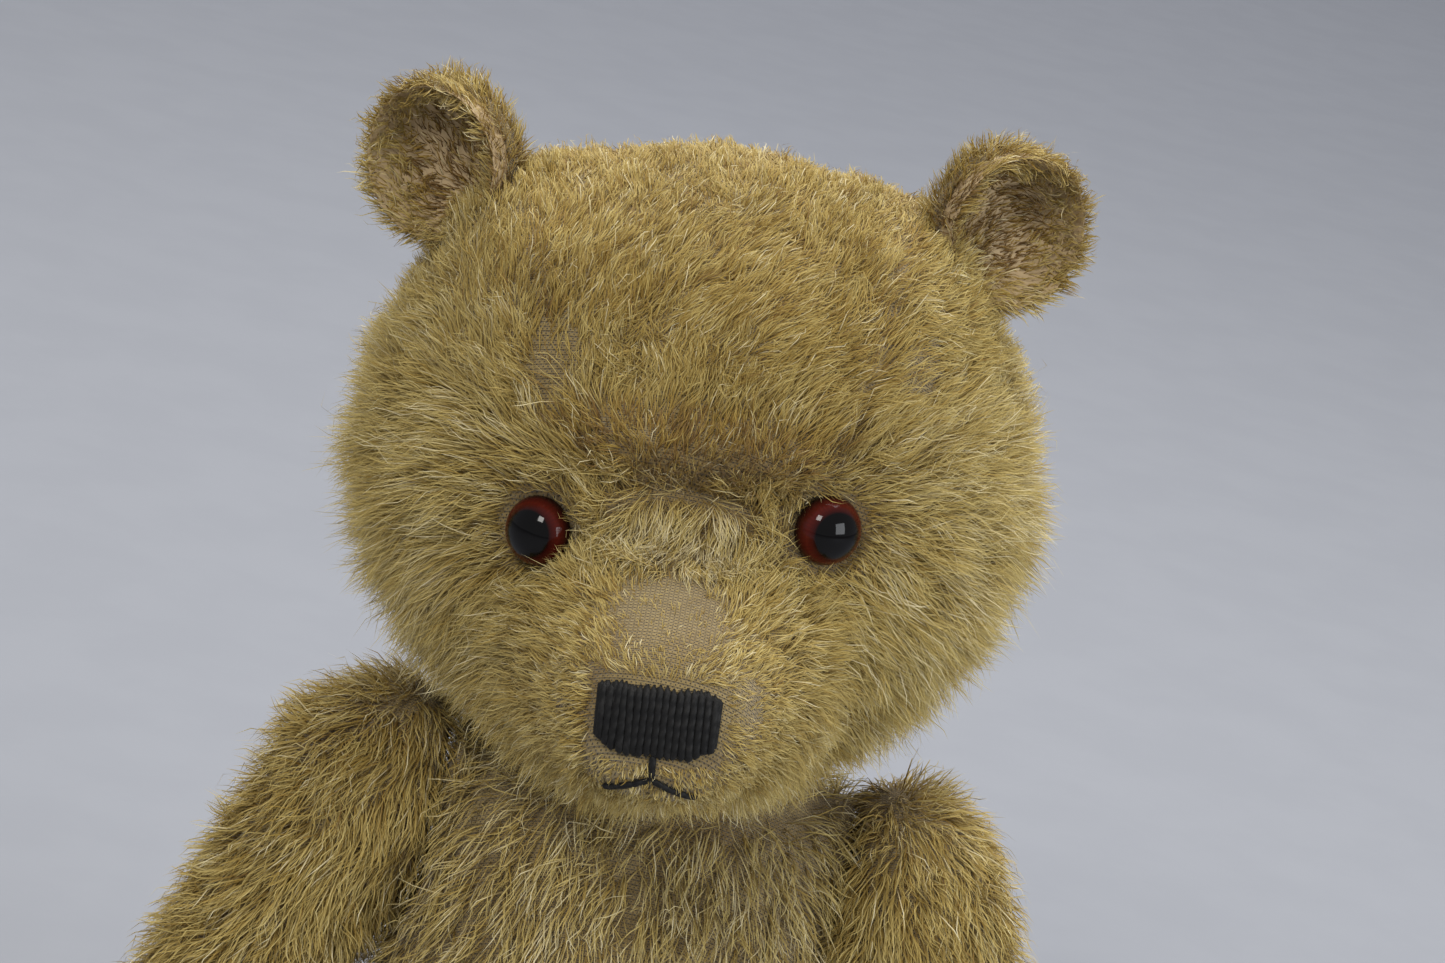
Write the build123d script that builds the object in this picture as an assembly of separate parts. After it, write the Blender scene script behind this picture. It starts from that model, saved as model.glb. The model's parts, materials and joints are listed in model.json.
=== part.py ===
from build123d import *
from math import atan2, cos, degrees, radians, sin, sqrt
import os

# A jointed mohair teddy bear, sitting. Millimetres, Z up, the bear faces -Y, its left is +X.
# The origin is under the trunk, on the surface the bear sits on.

# ------------------------------------------------------------------ cloth
CLOTH = 2.4             # mohair backing with its pile pressed flat
EAR_CLOTH = 1.6         # the same cloth, sheared, in each half of an ear
INSOLE = 1.0            # card behind a foot pad

# ------------------------------------------------------------------ trunk
TRUNK_HEIGHT = 122.0    # seat to the middle of the neck joint
TRUNK_WIDTH = 75.0
TRUNK_DEPTH = 66.0
TRUNK_OUTLINE = (       # height, width and depth as shares of the three sizes above
    (0.000, 0.50, 0.52), (0.030, 0.62, 0.64), (0.085, 0.75, 0.79), (0.200, 0.89, 0.92),
    (0.360, 0.98, 1.00), (0.500, 1.00, 1.00), (0.650, 0.95, 0.94), (0.770, 0.91, 0.87),
    (0.870, 0.89, 0.82), (0.940, 0.81, 0.76), (0.985, 0.68, 0.68), (1.020, 0.56, 0.60),
)

# ------------------------------------------------------------------ head
NECK_LEAN = 6.0         # degrees, the neck joint leans to the bear's right
HEAD_WIDTH = 97.0
HEAD_DEPTH = 85.0
HEAD_HEIGHT = 96.0
HEAD_LIFT = 48.0        # middle of the skull above the neck joint
NECK_RADIUS = 20.0      # flat underside of the head
MUZZLE_REACH = 71.0     # tip of the muzzle in front of the neck axis
MUZZLE_ROOT = 12.0      # where the muzzle starts, inside the skull
MUZZLE_WIDTH = 36.0     # half way along
MUZZLE_HEIGHT = 34.0
MUZZLE_LIFT = 26.0      # middle of the muzzle root above the neck joint
MUZZLE_RISE = 3.0       # the tip is this much higher than the root
MUZZLE_OUTLINE = (      # distance along, width, height, as shares
    (0.000, 1.62, 1.25), (0.250, 1.52, 1.28), (0.450, 1.28, 1.18), (0.650, 1.04, 1.00),
    (0.820, 0.86, 0.83), (0.920, 0.72, 0.70), (0.974, 0.54, 0.52), (1.000, 0.30, 0.28),
)
GUSSET_OUTLINE = (      # front to back and half width, as shares of half the head width
    (-1.75, 0.18), (-1.50, 0.19), (-1.25, 0.25), (-0.95, 0.35), (-0.65, 0.48), (-0.32, 0.62),
    (0.00, 0.70), (0.34, 0.67), (0.65, 0.52), (0.88, 0.36), (1.20, 0.30),
)
GUSSET_FRONT = 29.0     # lower ends of the gusset above the neck joint
GUSSET_BACK = 18.0

# ------------------------------------------------------------------ ears
EAR_RADIUS = 11.5
EAR_CUP = 13.5          # radius of the cupped face
EAR_OUT = 38.5          # middle of the ear from the middle of the head
EAR_UP = 88.0           # and above the neck joint
EAR_BACK = 3.0
EAR_TURN = 30.0         # degrees, the cup looks outwards

# ------------------------------------------------------------------ face
EYE_OUT = 20.5
EYE_UP = 47.0           # above the neck joint, halfway between the two
EYE_UNEVEN = 2.6        # sewn on by eye: the left one is this much higher, the right one lower
EYE_RADIUS = 5.0
EYE_DOME = 3.4          # height of the glass dome
EYE_RIM = 0.9           # straight edge under the dome
EYE_SINK = 1.1          # the eye is drawn into the cloth
EYE_TURN = 20.0         # degrees outwards
EYE_LOOK_UP = 0.08      # rise of the line of sight
IRIS_RADIUS = 4.4
PUPIL_RADIUS = 3.0
IRIS_LAYER = 0.4
PUPIL_LAYER = 0.3
SHANK_RADIUS = 0.6
SHANK_LENGTH = 4.5
SHANK_LOOP = 1.5
NOSE_WIDTH = 16.6
NOSE_HEIGHT = 10.0
NOSE_UP = 30.0          # middle of the nose above the neck joint
NOSE_CORNER = 2.6
THREAD = 1.0            # stitched yarn of nose and mouth
MOUTH_DROP = 3.2        # short upright stitch under the nose
MOUTH_HALF = 6.3
MOUTH_FALL = 3.4

# ------------------------------------------------------------------ arms
SHOULDER_UP = 109.0
SHOULDER_OUT = 32.0     # joint plane from the middle of the trunk
ARM_LENGTH = 104.0      # over everything, along the arm
ARM_ABOVE = 14.0        # part of it above the joint
ARM_RADIUS = 14.0
ARM_OFFSET = 9.0        # middle of the arm outside the joint plane
ARM_SPLAY = 24.0
ARM_BEND = 7.0          # the paw curves this far forwards
ARM_OUTLINE = (         # distance along, radius sideways, radius front to back, as shares
    (0.000, 0.22, 0.22), (0.022, 0.50, 0.53), (0.060, 0.76, 0.82), (0.125, 1.00, 1.08),
    (0.250, 1.00, 1.08), (0.400, 0.94, 1.00), (0.560, 0.86, 0.90), (0.700, 0.80, 0.84),
    (0.820, 0.80, 0.86), (0.910, 0.72, 0.78), (0.965, 0.50, 0.55), (1.000, 0.20, 0.22),
)
PAW_LENGTH = 27.0
PAW_WIDTH = 17.0

# ------------------------------------------------------------------ legs
HIP_UP = 20.0
HIP_OUT = 32.0
LEG_LENGTH = 115.0
LEG_BEHIND = 15.5       # part of it behind the joint
LEG_RADIUS = 15.5
LEG_OFFSET = 10.5
LEG_SPLAY = 10.0
FOOT_HEIGHT = 46.5      # heel to toe
FOOT_WIDTH = 27.0
FOOT_LIFT = 3.8         # middle of the sole above the hip joint
LEG_OUTLINE = (         # distance along and radius, as shares; the foot is blended in
    (0.000, 0.20, 0.0), (0.020, 0.50, 0.0), (0.060, 0.80, 0.0), (0.130, 1.00, 0.0),
    (0.260, 1.00, 0.0), (0.420, 0.92, 0.0), (0.580, 0.83, 0.0), (0.700, 0.77, 0.05),
    (0.800, 0.76, 0.32), (0.880, 0.76, 0.74), (0.945, 0.76, 0.97), (1.000, 0.76, 0.93),
)

# ------------------------------------------------------------------ joints
GAP = 0.4               # between trunk and limb at a joint
PIN_RADIUS = 1.0
PIN_FIT = 0.05          # shaft to board, radial
CLOTH_HOLE = 1.5
DISC = 2.0              # fibreboard disc
WASHER = 0.8
WASHER_RADIUS = 5.0
CURL_RADIUS = 2.4       # bent ends of the cotter pin
WIRE_RADIUS = 0.8
CURL_GAP = 0.5          # bent ends stay clear of the washer
RING_RADIUS = 2.0       # eye of the cotter pin
NECK_DISC = 16.5
SHOULDER_DISC = 7.5
HIP_DISC = 9.0
SHOULDER_PAD = 11.0     # flat bearing faces of the trunk
HIP_PAD = 13.5
SHOULDER_FLAT = 17.0    # the trunk is hollowed outside this radius of the joint axis
SHOULDER_SLOPE = 0.33   # and may stand out this much per mm further from the axis
HIP_FLAT = 27.0
HIP_SLOPE = 0.20
BIG = 400.0

NECK = Location((0, 0, TRUNK_HEIGHT), (0, -NECK_LEAN, 0))
SHOULDER = Location((SHOULDER_OUT, 0, SHOULDER_UP), (0, 90, 0))
HIP = Location((HIP_OUT, 0, HIP_UP), (0, 90, 0))
ARM_PLACE = Pos(SHOULDER_OUT + ARM_OFFSET, 0, SHOULDER_UP) * Rot(0, -ARM_SPLAY, 0)
LEG_PLACE = Pos(HIP_OUT + LEG_OFFSET, 0, HIP_UP) * Rot(0, 0, LEG_SPLAY)


# ------------------------------------------------------------------ helpers
def mirrored(shape):
    return mirror(shape, about=Plane.YZ)


def both(shape):
    return shape + mirrored(shape)


def half_space(side):
    """Everything on the +X (side 1) or -X (side -1) side of the local YZ plane."""
    return Pos(side * BIG / 2, 0, 0) * Box(BIG, BIG, BIG)


def above(height=0.0):
    return Pos(0, 0, height + BIG / 2) * Box(BIG, BIG, BIG)


def below(height):
    return Pos(0, 0, height - BIG / 2) * Box(BIG, BIG, BIG)


def rod(radius, z_low, z_high):
    return Pos(0, 0, (z_low + z_high) / 2) * Cylinder(radius, z_high - z_low)


def skinned(stations, inset):
    """Loft through ellipses given as (origin, x_dir, z_dir, radius 1, radius 2)."""
    faces = []
    for origin, x_dir, z_dir, r1, r2 in stations:
        face = Ellipse(max(r1 - inset, 0.35 * r1), max(r2 - inset, 0.35 * r2))
        faces.append(Plane(origin=origin, x_dir=x_dir, z_dir=z_dir) * face)
    return loft(faces)


def squeezed(share, length, inset):
    """Distance along a form whose two ends are both drawn in by the inset."""
    return inset + share * (length - 2 * inset)


# ------------------------------------------------------------------ joint hardware
# In a joint's own frame the trunk lies below z = 0 and the limb above z = GAP.
TRUNK_STACK = CLOTH + DISC + WASHER
LIMB_STACK = GAP + CLOTH + DISC + WASHER


def drilled(radius, z_low, z_high):
    return rod(radius, z_low, z_high) - rod(PIN_RADIUS + PIN_FIT, z_low - 1, z_high + 1)


def trunk_disc(radius):
    return drilled(radius, -CLOTH - DISC, -CLOTH)


def trunk_washer():
    return drilled(WASHER_RADIUS, -TRUNK_STACK, -CLOTH - DISC)


def limb_disc(radius):
    return drilled(radius, GAP + CLOTH, GAP + CLOTH + DISC)


def limb_washer():
    return drilled(WASHER_RADIUS, LIMB_STACK - WASHER, LIMB_STACK)


def cotter_pin():
    """Split pin: ring on the limb side, two bent ends on the trunk side."""
    turn = -TRUNK_STACK - CURL_GAP
    pin = rod(PIN_RADIUS, turn, LIMB_STACK + WIRE_RADIUS)
    ring_middle = LIMB_STACK + RING_RADIUS + WIRE_RADIUS
    pin += Pos(0, 0, ring_middle) * Rot(90, 0, 0) * Torus(RING_RADIUS, WIRE_RADIUS)
    for side in (-1, 1):
        bend = ThreePointArc((0, 0, turn), (side * CURL_RADIUS, 0, turn - CURL_RADIUS),
                             (side * 2 * CURL_RADIUS, 0, turn))
        pin += sweep(Pos(0, 0, turn) * Circle(WIRE_RADIUS), path=bend)
    return pin


def trunk_pocket(disc_radius):
    """Room in the stuffing for disc, washer and the turning pin ends."""
    reach = 2 * CURL_RADIUS + WIRE_RADIUS + 0.8
    depth = TRUNK_STACK + CURL_GAP + CURL_RADIUS + WIRE_RADIUS + 0.6
    return (rod(disc_radius, -CLOTH - DISC, -CLOTH) + rod(WASHER_RADIUS, -TRUNK_STACK, -CLOTH)
            + rod(reach, -depth, -TRUNK_STACK))


def limb_pocket(disc_radius):
    ring = 2 * (RING_RADIUS + WIRE_RADIUS)
    return (rod(disc_radius, GAP + CLOTH, GAP + CLOTH + DISC)
            + rod(WASHER_RADIUS, GAP + CLOTH, LIMB_STACK)
            + rod(ring / 2 + 0.4, LIMB_STACK, LIMB_STACK + ring + 0.4))


def cloth_hole():
    return rod(CLOTH_HOLE, -3 * CLOTH, GAP + 3 * CLOTH)


def swing_room(flat_radius, slope, inset):
    """The space a turning limb needs, opening outwards from the joint plane."""
    reach = 30.0
    room = Cone(flat_radius + inset, flat_radius + inset + reach / slope, reach)
    return Pos(0, 0, reach / 2 - inset) * room


# ------------------------------------------------------------------ trunk
def trunk_form(inset):
    stations = []
    for up, wide, deep in TRUNK_OUTLINE:
        origin = (0, 0, inset + up * (TRUNK_HEIGHT - inset))
        stations.append((origin, (1, 0, 0), (0, 0, 1), wide * TRUNK_WIDTH / 2,
                         deep * TRUNK_DEPTH / 2))
    form = skinned(stations, inset)
    for frame, pad, flat, slope in ((SHOULDER, SHOULDER_PAD, SHOULDER_FLAT, SHOULDER_SLOPE),
                                    (HIP, HIP_PAD, HIP_FLAT, HIP_SLOPE)):
        half_length = frame.position.X + 1.5 - inset
        form += frame * rod(pad - inset, -frame.position.X - half_length, 1.5 - inset)
        form -= both(frame * swing_room(flat, slope, inset))
    return form - NECK * above(-inset)


def trunk():
    outer, inner = trunk_form(0), trunk_form(CLOTH)
    limbs = ((SHOULDER, SHOULDER_DISC), (HIP, HIP_DISC))
    holes = both(SHOULDER * cloth_hole() + HIP * cloth_hole()) + NECK * cloth_hole()
    cover = outer - inner - holes
    stuffing = inner - NECK * trunk_pocket(NECK_DISC)
    washers = NECK * trunk_washer()
    nodes = {"neck_trunk_disc": NECK * trunk_disc(NECK_DISC)}
    for (frame, radius), name in zip(limbs, ("shoulder", "hip")):
        stuffing -= both(frame * trunk_pocket(radius))
        washers += both(frame * trunk_washer())
        nodes[f"left_{name}_trunk_disc"] = frame * trunk_disc(radius)
        nodes[f"right_{name}_trunk_disc"] = mirrored(frame * trunk_disc(radius))
    nodes["trunk_left_panel"] = cover & half_space(1)
    nodes["trunk_right_panel"] = cover & half_space(-1)
    nodes["trunk_stuffing"] = stuffing
    nodes["trunk_washers"] = washers
    return nodes


# ------------------------------------------------------------------ head, in the neck frame
def skull(inset):
    size = (HEAD_WIDTH / 2 - inset, HEAD_DEPTH / 2 - inset, HEAD_HEIGHT / 2 - inset)
    return Pos(0, 0, HEAD_LIFT) * scale(Sphere(1), by=size)


def muzzle(inset):
    length = MUZZLE_REACH - MUZZLE_ROOT
    stations = []
    for along, wide, high in MUZZLE_OUTLINE:
        y = -MUZZLE_ROOT - along * (length - inset)
        origin = (0, y, MUZZLE_LIFT + along * MUZZLE_RISE)
        stations.append((origin, (1, 0, 0), (0, -1, 0), wide * MUZZLE_WIDTH / 2,
                         high * MUZZLE_HEIGHT / 2))
    return skinned(stations, inset)


def head_form(inset):
    neck = rod(NECK_RADIUS - inset, GAP, HEAD_LIFT / 2)
    return (skull(inset) + muzzle(inset) + neck) & above(GAP + inset)


def gusset_block():
    """The piece of space the head gusset is cut from."""
    unit = HEAD_WIDTH / 2
    left = [(w * unit, y * unit) for y, w in GUSSET_OUTLINE]
    right = [(-x, y) for x, y in left]
    outline = (Spline(*left) + Line(left[-1], right[-1]) + Spline(*reversed(right))
               + Line(right[0], left[0]))
    column = extrude(make_face(outline), amount=BIG / 2)
    span = (left[-1][1] - left[0][1])
    floor = Polyline((0, left[0][1], GUSSET_FRONT), (0, left[-1][1], GUSSET_BACK),
                     (0, left[-1][1], -1), (0, left[0][1], -1), close=True)
    below = extrude(make_face(floor), amount=span, both=True)
    return column - below


def eye_place(up):
    level = (up - HEAD_LIFT) / (HEAD_HEIGHT / 2)
    out = EYE_OUT / (HEAD_WIDTH / 2)
    y = -HEAD_DEPTH / 2 * sqrt(1 - out ** 2 - level ** 2)
    turn = radians(EYE_TURN)
    facing = Plane(origin=(EYE_OUT, y, up), x_dir=(cos(turn), sin(turn), 0),
                   z_dir=(sin(turn), -cos(turn), EYE_LOOK_UP))
    return facing.location * Pos(0, 0, -EYE_SINK)


def eye_parts():
    """Glass dome over iris and pupil, wire shank behind; the eye looks along +Z."""
    ball = (EYE_RADIUS ** 2 + EYE_DOME ** 2) / (2 * EYE_DOME)
    dome = (Pos(0, 0, EYE_RIM + EYE_DOME - ball) * Sphere(ball)) & above(EYE_RIM)
    iris = rod(IRIS_RADIUS, 0, IRIS_LAYER)
    pupil = rod(PUPIL_RADIUS, IRIS_LAYER, IRIS_LAYER + PUPIL_LAYER)
    glass = rod(EYE_RADIUS, 0, EYE_RIM) + dome - iris - pupil
    loop = Pos(0, 0, -SHANK_LENGTH) * Rot(90, 0, 0) * Torus(SHANK_LOOP, SHANK_RADIUS)
    shank = rod(SHANK_RADIUS, SHANK_LOOP - SHANK_LENGTH, 0) + loop
    return {"glass": glass, "iris": iris, "pupil": pupil, "shank": shank}


def eye_room():
    """Seat in the cloth, hole for the shank and its loop in the stuffing."""
    loop = SHANK_LOOP + SHANK_RADIUS + 0.2
    return (rod(EYE_RADIUS + 0.1, 0, 12) + rod(SHANK_RADIUS + PIN_FIT, -6, 1)
            + rod(loop, -SHANK_LENGTH - loop, -SHANK_LENGTH + loop))


def ear_halves(head):
    """A cupped half disc in two layers, sewn to the head along its lower edge."""
    place = Pos(EAR_OUT, EAR_BACK, EAR_UP) * Rot(0, 0, EAR_TURN)
    middle = Pos(0, -EAR_CUP, 0)
    trim = Pos(0, -EAR_CUP / 2, 0) * Rot(90, 0, 0) * Cylinder(EAR_RADIUS, 2 * EAR_CUP)
    front = middle * (Sphere(EAR_CUP) - Sphere(EAR_CUP - EAR_CLOTH))
    back = middle * (Sphere(EAR_CUP + EAR_CLOTH) - Sphere(EAR_CUP))
    behind = Pos(0, BIG / 2 - EAR_CUP, 0) * Box(BIG, BIG, BIG)
    return [place * (layer & trim & behind) - head for layer in (front, back)]


def raised(outline, head):
    """Yarn lying on the cloth: a flat outline in XZ pressed onto the muzzle."""
    prism = extrude(Plane(origin=(0, -MUZZLE_REACH - 10, 0), x_dir=(1, 0, 0), z_dir=(0, 1, 0))
                    * outline, amount=MUZZLE_REACH / 2)
    grown = muzzle(-THREAD)
    return (prism & grown) - head


def yarn(start, end):
    """Flat outline of one straight stitch, in the sketch axes of raised()."""
    dx, dy = end[0] - start[0], end[1] - start[1]
    stitch = SlotCenterToCenter(sqrt(dx * dx + dy * dy), THREAD)
    middle = Pos((start[0] + end[0]) / 2, (start[1] + end[1]) / 2)
    return middle * Rot(0, 0, degrees(atan2(dy, dx))) * stitch


def head():
    outer, inner = head_form(0), head_form(CLOTH)
    cover = outer - inner - cloth_hole()
    left_eye, right_eye = eye_place(EYE_UP + EYE_UNEVEN), eye_place(EYE_UP - EYE_UNEVEN)
    room = left_eye * eye_room() + mirrored(right_eye * eye_room())
    cover -= room
    gusset = cover & gusset_block()
    sides = cover - gusset_block()
    nodes = {
        "head_gusset": gusset,
        "head_left_side": sides & half_space(1),
        "head_right_side": sides & half_space(-1),
        "head_stuffing": inner - room - limb_pocket(NECK_DISC),
        "neck_head_disc": limb_disc(NECK_DISC),
        "neck_head_washer": limb_washer(),
        "neck_cotter_pin": cotter_pin(),
    }
    for name, layer in zip(("ear_front", "ear_back"), ear_halves(outer)):
        nodes[f"left_{name}"] = layer
        nodes[f"right_{name}"] = mirrored(layer)
    for name, piece in eye_parts().items():
        nodes[f"left_eye_{name}"] = left_eye * piece
        nodes[f"right_eye_{name}"] = mirrored(right_eye * piece)
    nose = Pos(0, -NOSE_UP) * RectangleRounded(NOSE_WIDTH, NOSE_HEIGHT, NOSE_CORNER)
    nose_solid = raised(nose, outer)
    foot = (0, -NOSE_UP + NOSE_HEIGHT / 2)
    fork = (0, foot[1] + MOUTH_DROP)
    mouth = yarn(foot, fork)
    for side in (-1, 1):
        mouth += yarn(fork, (side * MOUTH_HALF, fork[1] + MOUTH_FALL))
    nodes["nose_stitching"] = nose_solid
    nodes["mouth_stitching"] = raised(mouth, outer) - nose_solid
    return {name: NECK * shape for name, shape in nodes.items()}


# ------------------------------------------------------------------ arms
def arm_form(inset):
    stations = []
    for along, side, deep in ARM_OUTLINE:
        down = squeezed(along, ARM_LENGTH, inset) - ARM_ABOVE
        bend = -ARM_BEND * max(down / (ARM_LENGTH - ARM_ABOVE), 0) ** 2
        stations.append(((0, bend, -down), (1, 0, 0), (0, 0, -1), side * ARM_RADIUS,
                         deep * ARM_RADIUS))
    return ARM_PLACE * skinned(stations, inset) - SHOULDER * below(GAP + inset)


def left_arm():
    outer, inner = arm_form(0), arm_form(CLOTH)
    cover = outer - inner - SHOULDER * cloth_hole()
    inside = cover & ARM_PLACE * half_space(-1)
    tip = ARM_LENGTH - ARM_ABOVE
    pad_plane = Plane(origin=(0, -0.75 * ARM_BEND, 0.62 * PAW_LENGTH - tip), x_dir=(0, 1, 0),
                      z_dir=(-1, 0, 0))
    pad_outline = pad_plane * Ellipse(PAW_WIDTH / 2, PAW_LENGTH / 2)
    pad_block = ARM_PLACE * extrude(pad_outline, amount=BIG / 4)
    return {
        "arm_outer_panel": cover & ARM_PLACE * half_space(1),
        "arm_inner_panel": inside - pad_block,
        "paw_pad": inside & pad_block,
        "arm_stuffing": inner - SHOULDER * limb_pocket(SHOULDER_DISC),
        "shoulder_arm_disc": SHOULDER * limb_disc(SHOULDER_DISC),
        "shoulder_arm_washer": SHOULDER * limb_washer(),
        "shoulder_cotter_pin": SHOULDER * cotter_pin(),
    }


# ------------------------------------------------------------------ legs
def leg_form(inset, sole=0.0):
    stations = []
    for along, round_share, foot_share in LEG_OUTLINE:
        forward = inset + along * (LEG_LENGTH - inset - sole) - LEG_BEHIND
        leg = round_share * LEG_RADIUS
        wide = leg + foot_share * (FOOT_WIDTH / 2 - leg)
        high = leg + foot_share * (FOOT_HEIGHT / 2 - leg)
        stations.append(((0, -forward, foot_share * FOOT_LIFT), (1, 0, 0), (0, -1, 0), wide, high))
    return LEG_PLACE * skinned(stations, inset) - HIP * below(GAP + inset)


def left_leg():
    outer, inner = leg_form(0), leg_form(CLOTH, CLOTH)
    cover = outer - inner - HIP * cloth_hole()
    sole = LEG_LENGTH - LEG_BEHIND - CLOTH
    pad_block = LEG_PLACE * Pos(0, -sole - BIG / 2, 0) * Box(BIG, BIG, BIG)
    card_block = LEG_PLACE * Pos(0, -sole + INSOLE - BIG / 2, 0) * Box(BIG, BIG, BIG)
    return {
        "leg_outer_panel": (cover & LEG_PLACE * half_space(1)) - pad_block,
        "leg_inner_panel": (cover & LEG_PLACE * half_space(-1)) - pad_block,
        "foot_pad": cover & pad_block,
        "insole_card": inner & card_block,
        "leg_stuffing": inner - card_block - HIP * limb_pocket(HIP_DISC),
        "hip_leg_disc": HIP * limb_disc(HIP_DISC),
        "hip_leg_washer": HIP * limb_washer(),
        "hip_cotter_pin": HIP * cotter_pin(),
    }


# ------------------------------------------------------------------ everything
def bear():
    nodes = {**trunk(), **head()}
    for name, shape in {**left_arm(), **left_leg()}.items():
        nodes[f"left_{name}"] = shape
        nodes[f"right_{name}"] = mirrored(shape)
    return nodes


os.makedirs("parts", exist_ok=True)
for node, solid in bear().items():
    export_step(solid, f"parts/{node}.step")
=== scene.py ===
import json
import math

import bmesh
import bpy
import numpy as np
from mathutils import Matrix, Vector
from mathutils.bvhtree import BVHTree


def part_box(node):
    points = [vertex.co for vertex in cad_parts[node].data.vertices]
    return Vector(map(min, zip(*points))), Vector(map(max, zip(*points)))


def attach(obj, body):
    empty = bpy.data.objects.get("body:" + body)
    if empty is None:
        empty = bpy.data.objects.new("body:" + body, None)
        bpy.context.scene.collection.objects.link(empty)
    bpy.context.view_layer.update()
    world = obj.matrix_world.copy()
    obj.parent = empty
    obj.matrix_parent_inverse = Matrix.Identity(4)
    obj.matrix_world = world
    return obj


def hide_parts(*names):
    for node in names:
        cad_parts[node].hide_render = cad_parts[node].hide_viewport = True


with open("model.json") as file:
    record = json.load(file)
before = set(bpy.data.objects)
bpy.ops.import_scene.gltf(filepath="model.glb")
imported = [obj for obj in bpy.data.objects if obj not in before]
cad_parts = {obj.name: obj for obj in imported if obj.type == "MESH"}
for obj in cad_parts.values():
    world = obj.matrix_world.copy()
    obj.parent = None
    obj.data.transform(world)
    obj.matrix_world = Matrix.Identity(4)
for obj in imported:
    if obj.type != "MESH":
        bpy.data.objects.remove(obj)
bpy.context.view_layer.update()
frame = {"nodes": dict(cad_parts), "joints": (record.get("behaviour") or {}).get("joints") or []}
NODES = frame["nodes"]

bl_info = {
    "name": "Jointed teddy bear",
    "version": (1, 0, 0),
    "blender": (4, 5, 0),
    "location": "3D View > Sidebar > Bear",
    "description": "An old mohair teddy bear with glass eyes, stitched nose and a worn golden pile",
    "category": "Object",
}

MM = 0.001
SIDES = (("left", 1), ("right", -1))
LEAN = next(j for j in frame["joints"] if j["name"] == "neck_turn")
NECK = Vector(LEAN["pos_m"])
NECK_UP = Vector(LEAN["axis"]).normalized()
TO_HEAD = NECK_UP.rotation_difference(Vector((0, 0, 1))).to_matrix().to_4x4() @ Matrix.Translation(-NECK)
FROM_HEAD = TO_HEAD.inverted()


# ---------------------------------------------------------------- shader helpers
class Value:
    """A number socket that can be used in Python arithmetic."""

    def __init__(self, sheet, socket):
        self.sheet, self.socket = sheet, socket

    def _math(self, operation, *others):
        inputs = [self.socket] + [o.socket if isinstance(o, Value) else o for o in others]
        return Value(self.sheet, self.sheet.node("ShaderNodeMath", {"operation": operation},
                                                 dict(enumerate(inputs))).outputs[0])

    def __add__(self, other):
        return self._math("ADD", other)

    def __sub__(self, other):
        return self._math("SUBTRACT", other)

    def __mul__(self, other):
        return self._math("MULTIPLY", other)

    def __truediv__(self, other):
        return self._math("DIVIDE", other)

    def __rsub__(self, other):
        return (self * -1.0) + other

    __radd__, __rmul__ = __add__, __mul__

    def sine(self):
        return self._math("SINE")

    def absolute(self):
        return self._math("ABSOLUTE")

    def power(self, other):
        return self._math("POWER", other)

    def least(self, other):
        return self._math("MINIMUM", other)

    def most(self, other):
        return self._math("MAXIMUM", other)

    def step(self, low, high):
        """0 below low, 1 above high, smooth between."""
        node = self.sheet.node("ShaderNodeMapRange", {"interpolation_type": "SMOOTHSTEP"},
                               {"Value": self.socket, "From Min": low, "From Max": high})
        return Value(self.sheet, node.outputs[0])


class Finish:
    """A material under construction."""

    def __init__(self, name, **constants):
        self.material = bpy.data.materials.new(name)
        self.material.use_nodes = True
        self.tree = self.material.node_tree
        self.shader = self.tree.nodes["Principled BSDF"]
        for socket, value in constants.items():
            self.shader.inputs[socket.replace("_", " ")].default_value = value

    def node(self, kind, settings=None, sockets=None):
        node = self.tree.nodes.new(kind)
        for key, value in (settings or {}).items():
            if key == "stops":
                ramp = node.color_ramp
                while len(ramp.elements) < len(value):
                    ramp.elements.new(0.5)
                for element, (place, colour) in zip(ramp.elements, value):
                    element.position, element.color = place, (*colour, 1)
            else:
                setattr(node, key, value)
        for key, value in (sockets or {}).items():
            value = value.socket if isinstance(value, Value) else value
            if isinstance(value, bpy.types.NodeSocket):
                self.tree.links.new(value, node.inputs[key])
            else:
                node.inputs[key].default_value = value
        return node

    def number(self, node, output=0):
        return Value(self, node.outputs[output])

    def place(self):
        node = self.node("ShaderNodeTexCoord")
        parts = self.node("ShaderNodeSeparateXYZ", None, {0: node.outputs["Object"]})
        return node.outputs["Object"], [self.number(parts, i) for i in range(3)]

    def bake_uv(self):
        node = self.node("ShaderNodeUVMap", {"uv_map": "OFBake"})
        parts = self.node("ShaderNodeSeparateXYZ", None, {0: node.outputs[0]})
        return self.number(parts, 0), self.number(parts, 1)

    def noise(self, vector, scale, detail=3.0, rough=0.55):
        node = self.node("ShaderNodeTexNoise", None,
                         {"Vector": vector, "Scale": scale, "Detail": detail, "Roughness": rough})
        return self.number(node)

    def ramp(self, value, stops):
        return self.node("ShaderNodeValToRGB", {"stops": stops}, {0: value}).outputs[0]

    def mix(self, factor, first, second, how="MIX"):
        node = self.node("ShaderNodeMix", {"data_type": "RGBA", "blend_type": how})
        for index, value in ((0, factor), (6, first), (7, second)):
            value = value.socket if isinstance(value, Value) else value
            if isinstance(value, bpy.types.NodeSocket):
                self.tree.links.new(value, node.inputs[index])
            else:
                node.inputs[index].default_value = value if index == 0 else (*value, 1)
        return node.outputs[2]

    def colour(self, socket):
        self.tree.links.new(socket, self.shader.inputs["Base Color"])

    def roughness(self, value):
        self.tree.links.new(value.socket, self.shader.inputs["Roughness"])

    def bump(self, height, strength, distance):
        node = self.node("ShaderNodeBump", None,
                         {"Height": height, "Strength": strength, "Distance": distance})
        self.tree.links.new(node.outputs[0], self.shader.inputs["Normal"])


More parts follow.
